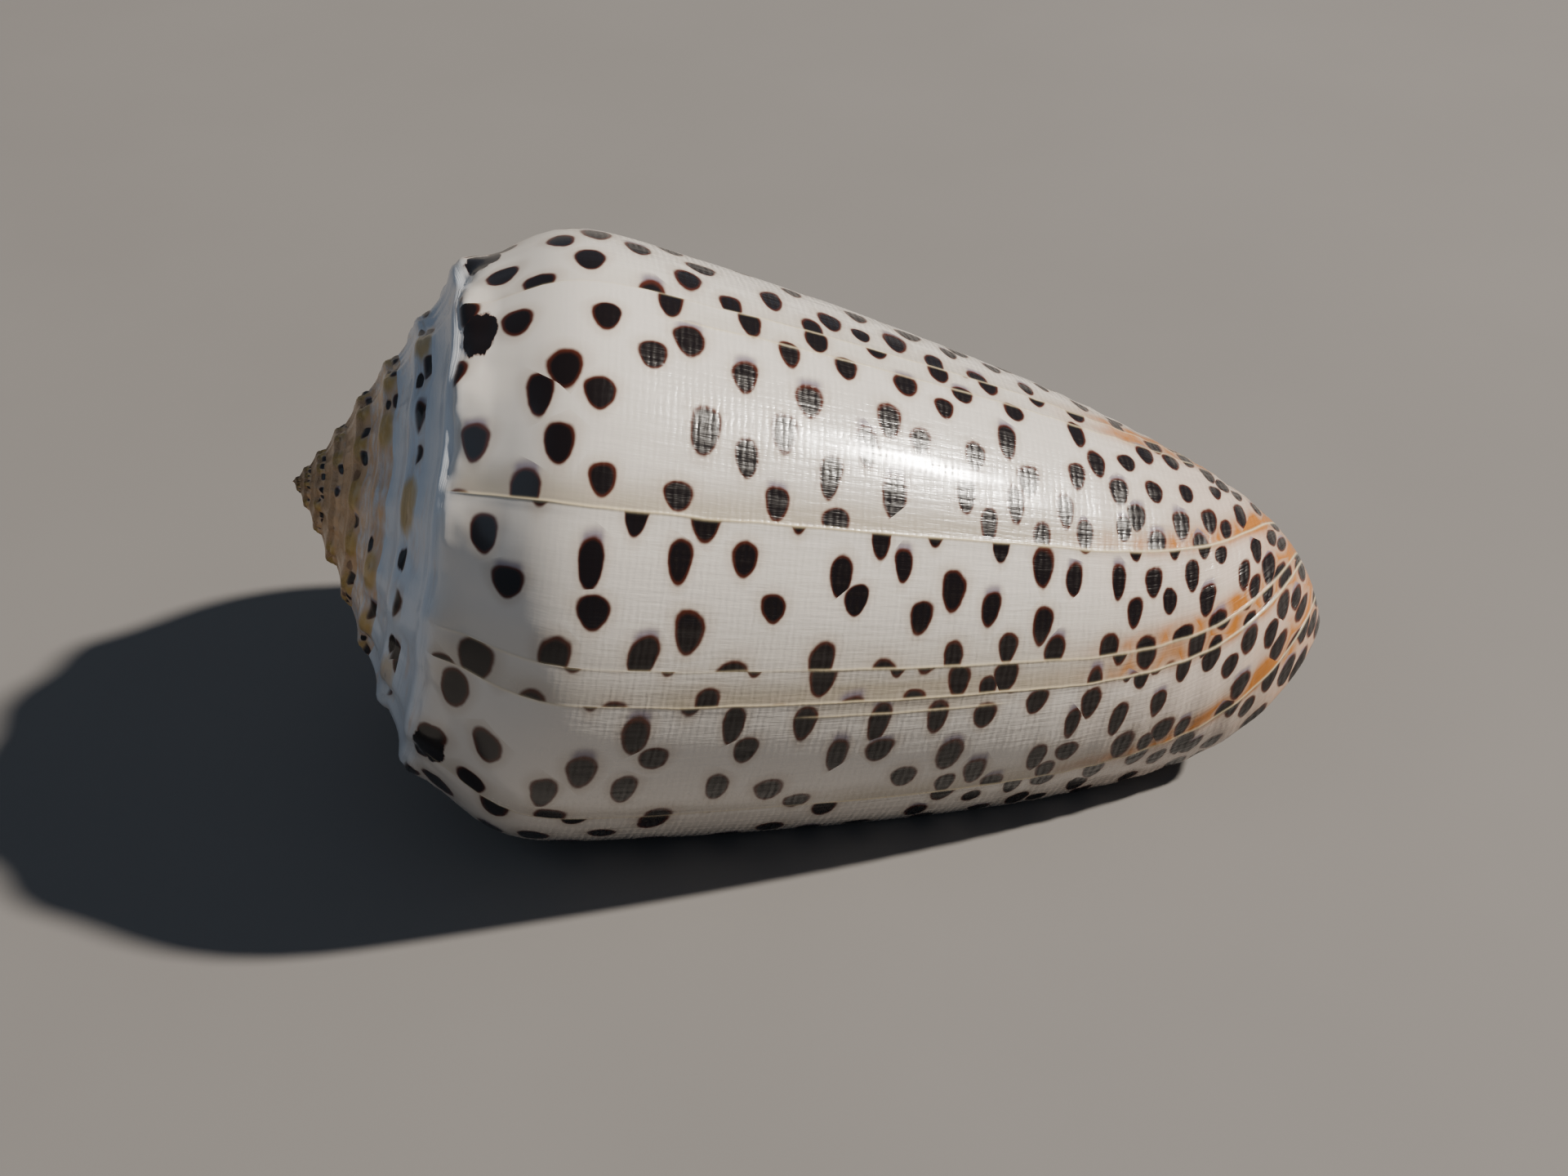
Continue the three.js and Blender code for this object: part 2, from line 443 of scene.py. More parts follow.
def group_of(rule, function, names):
    """The node group of one method: its inputs are the method's own and the sizes that it uses."""
    tree = bpy.data.node_groups.new(function.__name__, "GeometryNodeTree")
    m = Maker(tree)
    sizes = Inputs(m, rule.form)
    result = function(Growth(m, sizes, rule.form, rule.groups), *(sizes[name] for name in names))
    results = result._asdict() if isinstance(result, Place) else {"point": result}
    kind = "NodeSocketFloat" if isinstance(result, Place) else "NodeSocketVector"
    for name in results:
        tree.interface.new_socket(name, in_out="OUTPUT", socket_type=kind)
    m.node("NodeGroupOutput", None, results)
    return tree


class Growth:
    """Where each part of the shell lies, as expressions on the sizes of a node group."""

    def __init__(self, maker, sizes, form, groups):
        self.m = maker
        self.sizes = sizes
        self.form = form
        self.groups = groups

    def scale(self, turn):
        return (1 + turn / self.sizes["turns_to_vanish"]) ** 2

    def lag(self, down):
        end_lag_power = 14
        return -(self.sizes["side_lag"] * down ** 2 + self.sizes["end_lag"] * down ** end_lag_power)

    def side_radius(self, down):
        size = self.sizes
        body = (size["shoulder_radius"] - size["base_radius"]) * (1 - down) ** size["bluntness"]
        tuck = 1 - size["tuck"] * self.m.bell(down, size["tuck_reach"])
        return (size["base_radius"] + body) * tuck

    def pillar_share(self, turn, down):
        """Towards the base end, older growth winds in to the pillar faster than the shoulder does."""
        sharpness = 5
        wound = 1 / (1 + (self.m.at_least(-turn, 0) / self.sizes["pillar_turn"]) ** sharpness)
        share = mix(self.sizes["pillar_share"], 1, wound)
        return mix(1, share, self.m.smooth(self.sizes["pillar_start"], 1, down))

    @grouped
    def plain_side(self, turn, down):
        scale = self.scale(turn)
        shoulder = self.sizes["spire_height"] * scale ** self.sizes["shoulder_power"]
        return Place(
            mix(shoulder, self.sizes["length"] * scale ** self.sizes["base_power"], down),
            self.side_radius(down) * scale * self.pillar_share(turn, down),
            turn + self.lag(down))

    def nodule_at(self, turn):
        """How high a nodule stands at this turn: 0 in the hollows between them."""
        wave = 0.5 + 0.5 * self.m.cos(turn * self.sizes["nodules"] * math.tau)
        return self.sizes["nodule"] * self.scale(turn) ** 0.5 * wave

    def lumps_at(self, turn, down):
        """The uneven swelling along the shoulder, on top of the even nodules."""
        uneven = self.m.noise(turn * 17, down * 16, 5.5, detail=3)
        return self.sizes["lumps"] * self.scale(turn) ** 0.5 * uneven * self.m.bell(down, LUMPS_DOWN)

    def rounded_at(self, turn, apart):
        """How far the shoulder's edge is pulled in. Apart is 0 on the edge and 1 where the rounding ends."""
        return self.sizes["rounding"] * self.scale(turn) ** 0.5 * self.m.at_least(1 - apart, 0) ** 2

    def ridges(self, turn, down):
        """The growth lines, as narrow ridges along the growing edge."""
        half_width = RIDGE_STEPS / (STEPS_PER_NODULE * self.form.nodules)
        total = 0
        for line in GROWTH_LINES:
            crest = self.m.at_least(1 - abs(turn - line.turn) / half_width, 0)
            shown = self.m.smooth(line.start - 0.04, line.start + 0.04, down)
            if line.end < 1:
                shown = shown * self.m.smooth(line.end + 0.05, line.end - 0.05, down)
            total = total + crest * shown * line.height
        return total * self.sizes["ridge"]

    def relief(self, turn, down):
        """What stands up on the side besides the nodules."""
        m = self.m
        lift = m.smooth(1, 0.9, down) * m.smooth(0, 0.08, down)
        swell = m.noise(turn * 9, down * 5, 3.1) * self.sizes["swell"]
        folds = m.noise(turn * 55, down * 3, 7.7) * self.sizes["swell"] * 0.5
        ribs = m.cos(down * self.sizes["ribs"] * math.tau) * m.smooth(0.45, 0.85, down)
        return (swell + folds + ribs * self.sizes["rib"] + self.ridges(turn, down)) * lift

    @grouped
    def side(self, turn, down):
        """The outside of the wall. A nodule leans out more than it stands up."""
        plain = self.plain_side(turn, down)
        rise = self.nodule_at(turn) * self.m.bell(down, self.sizes["nodule_reach"])
        rise = rise + self.lumps_at(turn, down)
        rounded = self.rounded_at(turn, down / ROUNDING_DOWN)
        return Place(
            plain.x - rise * NODULE_UP + rounded,
            plain.radius + rise * NODULE_OUT + self.relief(turn, down) - rounded,
            plain.turn)

    @grouped
    def ramp(self, turn, across):
        """From the suture, where across is 0, to the shoulder, where it is 1."""
        suture = self.side(turn - 1, self.sizes["suture"])
        plain = self.plain_side(turn, 0)
        shoulder = self.side(turn, 0)
        corner = self.rounded_at(turn, 0)
        grown = across ** 3
        rounded = self.rounded_at(turn, (1 - across) / ROUNDING_ACROSS)
        sag = self.sizes["ramp_hollow"] * self.scale(turn) * self.m.sin(across * math.pi)
        return Place(
            mix(suture.x, plain.x, across) + (shoulder.x - corner - plain.x) * grown + rounded + sag,
            mix(suture.radius, plain.radius, across)
            + (shoulder.radius + corner - plain.radius) * grown - rounded,
            mix(suture.turn + 1, plain.turn, across))

    @grouped
    def inner_side(self, turn, down):
        """The inside of the wall. It closes on the pillar at the base end."""
        outer = self.plain_side(turn, down)
        wall = self.sizes["wall"]
        hollow = Place(outer.x + wall * (1 - down), outer.radius - wall, outer.turn)
        pillar = self.side(turn - 1, down)._replace(turn=outer.turn)
        return mix_places(hollow, pillar, self.m.smooth(self.sizes["zip_start"], 1, down))

    @grouped
    def inner_ramp(self, turn, across):
        foot = self.side(turn - 1, self.sizes["foot"])
        return mix_places(foot._replace(turn=foot.turn + 1), self.inner_side(turn, 0), across)

    @grouped
    def point(self, x, radius, turn):
        """A place as a point in the resting pose, before the whole shell is set down."""
        m = self.m
        angle = self.sizes["lip_angle"] - turn * math.tau
        dip = self.sizes["base_dip"]
        along = x - self.sizes["length"] / 2
        up = -(radius * m.cos(angle))
        return m.vector(
            along * m.cos(dip) + up * m.sin(dip),
            -(radius * m.sin(angle)),
            up * m.cos(dip) - along * m.sin(dip))

    def zones(self):
        """The growing edge in four zones. Each gives its places and its measure down the side."""
        suture, foot = self.sizes["suture"], self.sizes["foot"]
        downs = (
            (NECK_ROWS, lambda t: suture * t),
            (COLLAR_ROWS, lambda t: mix(suture, foot, t)),
            (FLANK_ROWS, lambda t: mix(foot, 1, 1 - (1 - t) ** END_CROWDING)),
        )
        side_zones = [
            Zone(rows,
                 lambda turn, t, down=down: self.side(turn, down(t)),
                 lambda turn, t, down=down: self.inner_side(turn, down(t)),
                 down)
            for rows, down in downs
        ]
        ramp_zone = Zone(RAMP_ROWS, self.ramp, self.inner_ramp, lambda t: (t - 1) * RAMP_SPAN)
        return [ramp_zone, *side_zones]


class ShellBuilder:
    """Lays out the shell's sheets in a Geometry Nodes tree."""

    def __init__(self, maker, sizes, form):
        self.m = maker
        self.growth = Growth(maker, sizes, form, {})
        self.sizes = sizes
        self.steps = STEPS_PER_NODULE * form.nodules
        self.first = form.first_turn
        self.passage = form.passage
        self.sheets = []

    def sheet(self, columns, rows, shape, flipped=False):
        """One grid, put where shape says. Shape takes the shares of the way along and across the grid."""
        m = self.m
        grid = m.node(
            "GeometryNodeMeshGrid", None,
            {"Size X": 1.0, "Size Y": 1.0, "Vertices X": columns + 1, "Vertices Y": rows + 1})
        flat = m.node("GeometryNodeInputPosition")
        x, y, _ = m.parts(m.wire(flat))
        place, marks = shape(x + 0.5, y + 0.5)
        geometry = m.wire(grid)
        marks = {**marks, GIRTH: place.radius * math.tau}
        for name, value in marks.items():
            stored = m.node(
                "GeometryNodeStoreNamedAttribute", {"data_type": "FLOAT", "domain": "CORNER"},
                {"Geometry": geometry, "Name": name, "Value": value})
            geometry = m.wire(stored)
        placed = m.node(
            "GeometryNodeSetPosition", None, {"Geometry": geometry, "Position": self.growth.point(*place)})
        if flipped:
            placed = m.node("GeometryNodeFlipFaces", None, {"Mesh": m.wire(placed)})
        self.sheets.append(m.wire(placed))

    def outside(self):
        zones = self.growth.zones()
        older = round(-self.steps * (1 + self.first))
        for zone in zones[:2]:
            self.wound(zone, zone.outer, older, lambda s: mix(self.first, -1, s), 0.0)
        for zone in zones:
            self.wound(zone, zone.outer, self.steps, lambda s: s - 1, 0.0)

    def wound(self, zone, place_at, columns, turn_at, inside, flipped=False):
        """A sheet that winds round the axis."""
        def shape(s, t):
            turn = turn_at(s)
            return place_at(turn, t), {TURN: turn, DOWN: zone.down(t), INSIDE: inside}
        self.sheet(columns, zone.rows, shape, flipped)

    def passage_walls(self):
        zones = self.growth.zones()
        columns = round(self.steps * self.passage)
        for zone in zones:
            self.wound(zone, zone.inner, columns, self.passage_turn, 1.0, flipped=True)
        flank = zones[-1]

        def floor_at(turn, t):
            return self.growth.side(turn - 1, flank.down(t))
        self.wound(flank, floor_at, columns, self.passage_turn, 1.0)

    def passage_turn(self, s):
        return (s - 1) * self.passage

    def lip(self):
        """The rounded edge of the wall, from the outside to the inside. It starts on the turn before."""
        for index, zone in enumerate(self.growth.zones()):
            def shape(s, t, zone=zone, on_ramp=index == 0):
                zero = s * 0
                flat = mix_places(zone.outer(zero, t), zone.inner(zero, t), s)
                bulge = self.m.sin(s * math.pi) * (self.sizes["wall"] * LIP_BULGE)
                if on_ramp:
                    bulge = bulge * t
                    flat = self.laid_on_last_turn(flat, s, t)
                closed = self.m.smooth(1, self.sizes["zip_start"], zone.down(t))
                turn = flat.turn + bulge * closed / (flat.radius * math.tau)
                return flat._replace(turn=turn), {TURN: zero, DOWN: zone.down(t), INSIDE: s}
            self.sheet(COLLAR_ROWS, zone.rows, shape)

    def laid_on_last_turn(self, flat, s, t):
        """At the suture the lip's edge follows the side that it stands on."""
        side = self.growth.side
        suture, foot = self.sizes["suture"], self.sizes["foot"]
        last = s * 0 - 1
        straight = mix_places(side(last, suture), side(last, foot), s)
        curved = side(last, mix(suture, foot, s))
        fade = (1 - t) ** 2
        return Place(*(a + (b - c) * fade for a, b, c in zip(flat, curved, straight)))

    def passage_end(self):
        """The wall that closes the passage deep inside."""
        growth = self.growth
        zones = growth.zones()
        for zone in zones:
            def shape(s, t, zone=zone):
                turn = s * 0 - self.passage
                down = zone.down(t) if zone is zones[-1] else self.sizes["foot"]
                floor = growth.side(turn - 1, down)
                place = mix_places(zone.inner(turn, t), floor._replace(turn=floor.turn + 1), s)
                return place, {TURN: turn, DOWN: zone.down(t), INSIDE: 1.0}
            self.sheet(1, zone.rows, shape)

    def spire_tip(self):
        """Closes the first turn on the tip of the spire."""
        tip = Place(0, 0, self.first)
        marks = {TURN: self.first, DOWN: -RAMP_SPAN, INSIDE: 0.0}

        def round_the_tip(s, t):
            rim = self.growth.ramp(self.first + s, s * 0)
            return mix_places(tip._replace(turn=rim.turn), rim, t), marks
        self.sheet(self.steps, TIP_ROWS, round_the_tip)
        for zone in self.growth.zones()[:2]:
            def start(s, t, zone=zone):
                rim = zone.outer(s * 0 + self.first, 1 - s)
                return mix_places(tip._replace(turn=rim.turn), rim, t), marks
            self.sheet(zone.rows, TIP_ROWS, start)

    def base_tip(self):
        """Closes the base end with a small bowl."""
        middle_x = self.sizes["length"] - self.sizes["base_depth"]
        marks = {TURN: -1.0, DOWN: 1.0, INSIDE: 0.0}

        def bowl(rim, t):
            return Place(mix(middle_x, rim.x, t ** 2), rim.radius * t, rim.turn)

        def round_the_end(s, t):
            return bowl(self.growth.side(-s, s * 0 + 1), t), marks

        def closing(s, t):
            newer = self.growth.side(s * 0, s * 0 + 1)
            older = self.growth.side(s * 0 - 1, s * 0 + 1)
            return bowl(mix_places(older._replace(turn=newer.turn), newer, s), t), marks
        self.sheet(self.steps, TIP_ROWS, round_the_end)
        self.sheet(COLLAR_ROWS, TIP_ROWS, closing)

    def joined(self):
        """All the sheets as one closed skin."""
        m = self.m
        join = m.node("GeometryNodeJoinGeometry")
        for sheet in self.sheets:
            m.feed(join.inputs[0], sheet)
        weld = m.node("GeometryNodeMergeByDistance", None, {"Geometry": m.wire(join), "Distance": WELD})
        return m.wire(weld)


def set_down(m, geometry, place):
    """Moves the geometry so that the middle of its box in X and Y, and its lowest point, are at place."""
    box = m.node("GeometryNodeBoundBox", None, {"Geometry": geometry})
    low_x, low_y, low_z = m.parts(m.wire(box, "Min"))
    high_x, high_y, _ = m.parts(m.wire(box, "Max"))
    x, y, z = m.parts(place)
    offset = m.vector(x - (low_x + high_x) / 2, y - (low_y + high_y) / 2, z - low_z)
    moved = m.node("GeometryNodeSetPosition", None, {"Geometry": geometry, "Offset": offset})
    return m.wire(moved)


def shell_tree(form):
    """The Geometry Nodes tree that grows the shell, with a named input for each size that it uses."""
    tree = bpy.data.node_groups.new("grow_shell", "GeometryNodeTree")
    tree.interface.new_socket("Geometry", in_out="OUTPUT", socket_type="NodeSocketGeometry")
    m = Maker(tree)
    sizes = Inputs(m, form)
    sizes.add("resting_place", "NodeSocketVector")
    sizes.add("material", "NodeSocketMaterial")
    builder = ShellBuilder(m, sizes, form)
    builder.outside()
    builder.passage_walls()
    builder.lip()
    builder.passage_end()
    builder.spire_tip()
    builder.base_tip()
    resting = set_down(m, builder.joined(), sizes["resting_place"])
    soft = m.node("GeometryNodeSetShadeSmooth", None, {"Geometry": resting, "Shade Smooth": True})
    real = m.node("GeometryNodeRealizeInstances", None, {"Geometry": m.wire(soft)})
    painted = m.node(
        "GeometryNodeSetMaterial", None, {"Geometry": m.wire(real), "Material": sizes["material"]})
    m.node("NodeGroupOutput", None, {0: m.wire(painted)})
    return tree


def grown_mesh(context, form, material):
    """The shell as a plain mesh object, grown by its tree."""
    shell = bpy.data.objects.new("shell_skin", bpy.data.meshes.new("shell_skin"))
    tree = shell_tree(form)
    middle = (SHELL_LOW + SHELL_HIGH) / 2
    values = {"resting_place": (middle.x, middle.y, SHELL_LOW.z), "material": material}
    modifier = shell.modifiers.new("grow", "NODES")
    modifier.node_group = tree
    for socket in tree.interface.items_tree:
        if socket.in_out == "INPUT":
            value = values.get(socket.name) or float(getattr(form, socket.name))
            modifier[socket.identifier] = value
    context.collection.objects.link(shell)
    graph = context.evaluated_depsgraph_get()
    mesh = bpy.data.meshes.new_from_object(
        shell.evaluated_get(graph), preserve_all_data_layers=True, depsgraph=graph)
    if not mesh.polygons:
        raise RuntimeError("the shell grew no faces")
    shell.modifiers.clear()
    shell.data = mesh
    mesh.name = "shell_skin"
    return shell


class ShellPaint:
    """The shell's colours, worked out from the marks that its surface carries."""

    def __init__(self, maker, colours, form):
        self.m = maker
        self.colours = colours
        self.nodules = form.nodules
        self.turn = self.mark(TURN)
        self.down = self.mark(DOWN)
        self.inside = self.mark(INSIDE)
        self.outside = 1 - self.inside
        self.girth = self.mark(GIRTH) * MILLIMETRES
        self.waver = self.m.noise(self.down * 12, 0.0, 0.5) * 0.25
        self.colour = self.tint("body")

    def mark(self, name):
        read = self.m.node(
            "ShaderNodeAttribute", {"attribute_type": "GEOMETRY", "attribute_name": name})
        return self.m.wire(read, "Fac")

    def tint(self, name):
        return (*getattr(self.colours, name), 1.0)

    def lay(self, share, name):
        """Lays one of the colours over what is there."""
        self.colour = self.m.blend(share, self.colour, self.tint(name))

    def behind(self, line):
        """How far older than a growth line the surface is, in millimetres. The line wavers a little."""
        return (line.turn - self.turn) * self.girth + self.waver

    def shown(self, line):
        """How strongly a growth line shows here. A full one is only fainter before its start."""
        shown = self.m.smooth(line.start - 0.03, line.start + 0.03, self.down)
        if line.end > 1:
            return mix(0.45, 1, shown) * self.m.smooth(0.0, 0.03, self.down)
        return shown * self.m.smooth(line.end + 0.04, line.end - 0.04, self.down)

    def growth_lines(self):
        """Masks of the lines themselves, of the dull bands behind them, and of the wide tint round them."""
        m = self.m
        lines, bands, wide = 0, 0, 0
        for line in GROWTH_LINES:
            behind, shown = self.behind(line), self.shown(line)
            lines = lines + m.bell(behind, LINE_WIDTH) * shown * line.height
            fading = m.smooth(BAND_WIDTH, 0.1, behind) * m.above(behind, 0)
            bands = bands + fading * shown * line.band
            wide = wide + m.bell(behind - TINT_BACK, TINT_WIDTH) * shown
        return m.at_most(lines, 1), m.at_most(bands, 1), m.at_most(wide, 1)

    def broken(self):
        """A number that changes at each full growth line, where the pattern starts afresh."""
        total = 0
        for line in GROWTH_LINES:
            if line.end > 1:
                total = total + self.m.above(self.turn, line.turn)
        return total

    def nearest_spot(self):
        m = self.m
        broken = self.broken()
        around = self.turn * SPOTS_AROUND + broken * SHIFT_AROUND
        along = self.down * SPOTS_DOWN + self.down ** SPOTS_CROWDING * SPOTS_AT_END
        along = along + broken * SHIFT_DOWN
        warp = m.noise(around * 0.8, along * 0.8, 1.3, detail=1) * 0.3
        around, along = around + warp, along - warp * 0.5
        place = m.vector((around + along) * DIAGONAL, (around - along) * DIAGONAL)
        cells = m.node(
            "ShaderNodeTexVoronoi", {"voronoi_dimensions": "2D", "feature": "F1"},
            {"Vector": place, "Scale": 1.0, "Randomness": 0.55})
        one_way, other_way, _ = m.parts(m.wire(cells, "Position"))
        newer = around - (one_way + other_way) * DIAGONAL
        lower = along - (one_way - other_way) * DIAGONAL
        chances = m.node("ShaderNodeSeparateColor", None, {0: m.wire(cells, "Color")})
        return Spot(around, along, newer, lower, *(m.wire(chances, key) for key in range(3)))

    def spots(self):
        """Masks of the spots' hearts, rims, painted shade halos and the grey trails behind some."""
        m = self.m
        spot = self.nearest_spot()
        crowding = self.down ** 3
        half_long = mix(0.24, 0.39, spot.long) * (1 + crowding * 0.4)
        half_wide = mix(0.18, 0.26, spot.wide) * (1 + crowding * 0.75)
        half_wide = half_wide * (1 - spot.newer / half_long * 0.24)
        edge = m.noise(spot.around * 2.6, spot.along * 2.6, 4.2, detail=2) * 0.35
        sideways = abs(spot.lower / half_wide)
        far = (sideways ** 2 + abs(spot.newer / half_long) ** 2.3) ** 0.5 + edge
        kept = m.above(spot.chance, 0.1) * m.smooth(-0.002, 0.010, self.down) * self.outside
        warm = m.noise(spot.around * 0.7, spot.along * 0.7, 8.3, detail=1) + 0.5
        heart = m.smooth(1.09 - warm * 0.12, 0.97 - warm * 0.5, far) * kept
        rim = m.smooth(1.17, 0.92, far) * kept
        # The halo mask: painted shade of light scattered under the glaze round a spot.
        halo = m.smooth(2.0, 0.9, far) * kept
        trail = m.smooth(1.75, 1.1, far) * m.smooth(0.05, -0.2, spot.newer)
        trail = trail * m.smooth(1.0, 0.4, sideways) * m.above(spot.chance, 0.74) * kept
        return heart, rim, halo, trail

    def blotches(self):
        """The large ragged marks on the newest shoulder."""
        m = self.m
        spaced = self.turn * BLOTCHES + 0.3
        index = m.floor(spaced)
        random = m.draw(index)
        ragged = m.noise(self.turn * 90, self.down * 90, 2.2, detail=3) * 0.9
        across = (spaced - index - 0.5) / 0.19
        along = (self.down - 0.022 - random * 0.014) / 0.020
        far = distance(across, along) + ragged
        return m.smooth(1.05, 0.9, far) * m.above(random, 0.12) * m.above(self.turn, -1)

    def nodule_patches(self, count, ragged):
        """The yellow patches on the tops of the older nodules. Count is the turn, counted in nodules."""
        m = self.m
        top = m.floor(count + 0.5)
        far = distance((count - top) / 0.34, (self.down - 0.001) / 0.019) + ragged * 0.7
        return m.smooth(1.15, 0.6, far) * m.above(m.draw(top), 0.2) * m.smooth(1.0, 1.15, -self.turn)

    def hollow_marks(self, count, ragged):
        """The small dark marks in the hollows between the older nodules."""
        m = self.m
        hollow = m.floor(count)
        random = m.draw(hollow + 0.5)
        across = (count - hollow - 0.35 - random * 0.3) / 0.13
        along = (self.down - 0.013 + random * 0.022) / 0.008
        marks = m.smooth(1.1, 0.7, distance(across, along) + ragged) * m.above(random, 0.42)
        return marks * m.smooth(0.9, 1.05, -self.turn) * m.smooth(4.5, 2.0, -self.turn)

    def spire(self):
        """Masks of the spire's yellow patches, of its dark marks and of its wear."""
        count = self.turn * self.nodules
        ragged = self.m.noise(self.turn * 40, self.down * 90, 6.1, detail=3) * 1.2
        worn = self.m.smooth(1.2, 2.9, ragged * 2.2 - self.turn)
        return self.nodule_patches(count, ragged), self.hollow_marks(count, ragged), worn

    def base_tint(self, wide):
        """The orange of the base end: strongest along the growth lines."""
        m = self.m
        patchy = m.noise(self.turn * 30, self.down * 22, 9.4, detail=3)
        near = m.smooth(0.62, 0.92, self.down + patchy * 0.12)
        end = m.smooth(0.88, 0.98, self.down + patchy * 0.08)
        return m.at_most(near * (wide * (1.3 + patchy) + 0.32) + end * 0.5, 1)

    def threads(self):
        """The finest threads round the shell and the finest growth lines, each centred on 0."""
        m = self.m
        side = self.down * SIDE_LENGTH
        arc = self.turn * TURN_LENGTH
        waver = m.noise(arc * 1.3, side * 2, 1.1) * 5
        unevenness = m.at_least(m.noise(arc * 0.9, side * 2.3, 5.2, detail=3) * 2 + 0.35, 0)
        threads = m.sin(side * math.tau / THREAD_SPACING + waver) * unevenness
        growth = m.noise(arc * 3.4, side * 0.4, 8.8, detail=3, roughness=0.6)
        return threads, growth

    def relief(self, lines, threads, growth):
        """The finest relief, in millimetres."""
        m = self.m
        glossy = self.outside * m.smooth(0.06, 0.24, self.down)
        ramp_streaks = m.noise(self.down * 600, self.turn * 14, 2.7, detail=2)
        ramp = (1 - m.smooth(-0.004, 0.01, self.down)) * self.outside
        worn = m.noise(self.turn * 160, self.down * 160, 3.3, detail=4, roughness=0.65)
        worn = worn * m.smooth(1.2, 4.0, -self.turn)
        fine = (threads * 0.6 + growth * 3) * glossy * self.colours.thread
        return fine + lines * 0.03 + ramp * (ramp_streaks * 0.03 + worn * 0.18)

    def lay_ground(self, on_ramp, bands, worn):
        """Lays the ramp in painted cool shade, its stains, the dull bands and the tan of the older turns."""
        m = self.m
        cloud = m.noise(self.turn * 16, self.down * 10, 0.4, detail=3)
        stained = m.smooth(0.08, 0.3, m.noise(self.turn * 13, self.down * 40, 7.3, detail=4))
        # Painted shade: the ramp colour's blue tint stands for the cool skylit shade on the ramps and spire.
        self.lay(on_ramp * 0.9, "ramp")
        self.lay(on_ramp * stained * 0.55, "old")
        self.lay(m.at_least(cloud, 0) * 0.3 * (1 - on_ramp), "band")
        self.lay(bands * 0.85, "band")
        self.lay(on_ramp * worn * 0.9, "old")

    def lay_dark_marks(self, marks):
        """Lays the spots, the blotches and the spire's marks, each with a brown rim round a dark heart."""
        m = self.m
        heart, rim, halo, trail = self.spots()
        ragged = m.either(self.blotches(), marks)
        # Painted shade: the halo round each spot stands for light scattered under the glaze.
        self.lay(halo * 0.5, "halo")
        self.lay(trail * 0.8, "smear")
        self.lay(m.at_most(m.either(rim, ragged), 1), "spot_edge")
        self.lay(m.at_most(m.either(heart, m.smooth(0.75, 1, ragged)), 1), "spot")

    def finish(self):
        """The whole paint, as its colour, its roughness, its weave, which thins the coat, and its height."""
        m = self.m
        lines, bands, wide = self.growth_lines()
        patches, marks, worn = self.spire()
        # on_ramp covers the spire and a little of the shoulder, and carries the painted blue shade there.
        on_spire = m.above(-1.0, self.turn) * self.outside
        on_ramp = m.either(1 - m.smooth(-0.016, 0.026, self.down), on_spire)
        self.lay_ground(on_ramp, bands, worn)
        self.lay(patches * 0.85, "nodule")
        self.lay(self.base_tint(wide), "base")
        self.lay_dark_marks(marks)
        self.lay(lines * m.smooth(0, 0.06, self.down) * 0.85, "line")
        self.lay(self.inside, "inside")
        threads, growth = self.threads()
        woven = m.smooth(0.08, 0.26, self.down) * self.outside
        weave = m.held(0.5 + (threads * 0.6 + growth * 2) * woven)
        roughness = mix(0.5, 1.5, weave) * self.colours.roughness + on_ramp * 0.08 + bands * 0.06
        return self.colour, roughness + worn * on_ramp * 0.2, weave, self.relief(lines, threads, growth)


def new_maker(owner):
    """A maker for the node tree of a material or a world, which is emptied first."""
    owner.use_nodes = True
    owner.node_tree.nodes.clear()
    return Maker(owner.node_tree)


def shell_material(colours, form):
    """The shell's glossy material."""
    material = bpy.data.materials.new("spotted_glaze")
    m = new_maker(material)
    colour, roughness, weave, height = ShellPaint(m, colours, form).finish()
    bump = m.node(
        "ShaderNodeBump", None, {"Strength": 1.0, "Distance": 1 / MILLIMETRES, "Height": height})
    glaze = m.node(
        "ShaderNodeBsdfPrincipled", None,
        {"Base Color": colour, "Roughness": roughness, "Normal": m.wire(bump),
         "IOR": 1.5, "Specular IOR Level": 0.4,
         "Coat Weight": 1 - weave, "Coat Roughness": 0.13, "Coat IOR": 1.5})
    m.node("ShaderNodeOutputMaterial", None, {"Surface": m.wire(glaze)})
    return material


def floor_material(stage):
    """A plain pale floor, a little uneven in tone."""
    material = bpy.data.materials.new("pale_floor")
    m = new_maker(material)
    place = m.node("ShaderNodeTexCoord")
    x, y, _ = m.parts(m.wire(place, "Object"))
    cloud = m.noise(x * 40, y * 40, 0.0, detail=4)
    tint = (*stage.floor, 1.0)
    darker = (*(part * 0.85 for part in stage.floor), 1.0)
    colour = m.blend(m.held(cloud + 0.5), darker, tint)
    matte = m.node("ShaderNodeBsdfPrincipled", None, {"Base Color": colour, "Roughness": 0.8})
    m.node("ShaderNodeOutputMaterial", None, {"Surface": m.wire(matte)})
    return material


def direction(elevation, bearing):
    """A direction from its height above the horizon and its bearing, turned from +X towards +Y."""
    level = math.cos(elevation)
    return Vector((level * math.cos(bearing), level * math.sin(bearing), math.sin(elevation)))


def add_floor(context, stage):
    reach = 3.0
    mesh = bpy.data.meshes.new("floor")
    corners = [(-reach, -reach, 0), (reach, -reach, 0), (reach, reach, 0), (-reach, reach, 0)]
    mesh.from_pydata(corners, [], [(0, 1, 2, 3)])
    floor = bpy.data.objects.new("floor", mesh)
    mesh.materials.append(floor_material(stage))
    context.collection.objects.link(floor)
    return floor


def add_light(context, lamp, towards, power):
    """A round light that faces the shell from a distance."""
    data = bpy.data.lights.new(lamp.name, "AREA")
    data.shape = "DISK"
    data.size = lamp.width
    data.energy = power
    data.color = lamp.colour
    light = bpy.data.objects.new(lamp.name, data)
    light.location = (CAD_LOW + CAD_HIGH) / 2 + towards * lamp.distance
    light.rotation_mode = "QUATERNION"
    light.rotation_quaternion = towards.to_track_quat("Z", "Y")
    context.collection.objects.link(light)


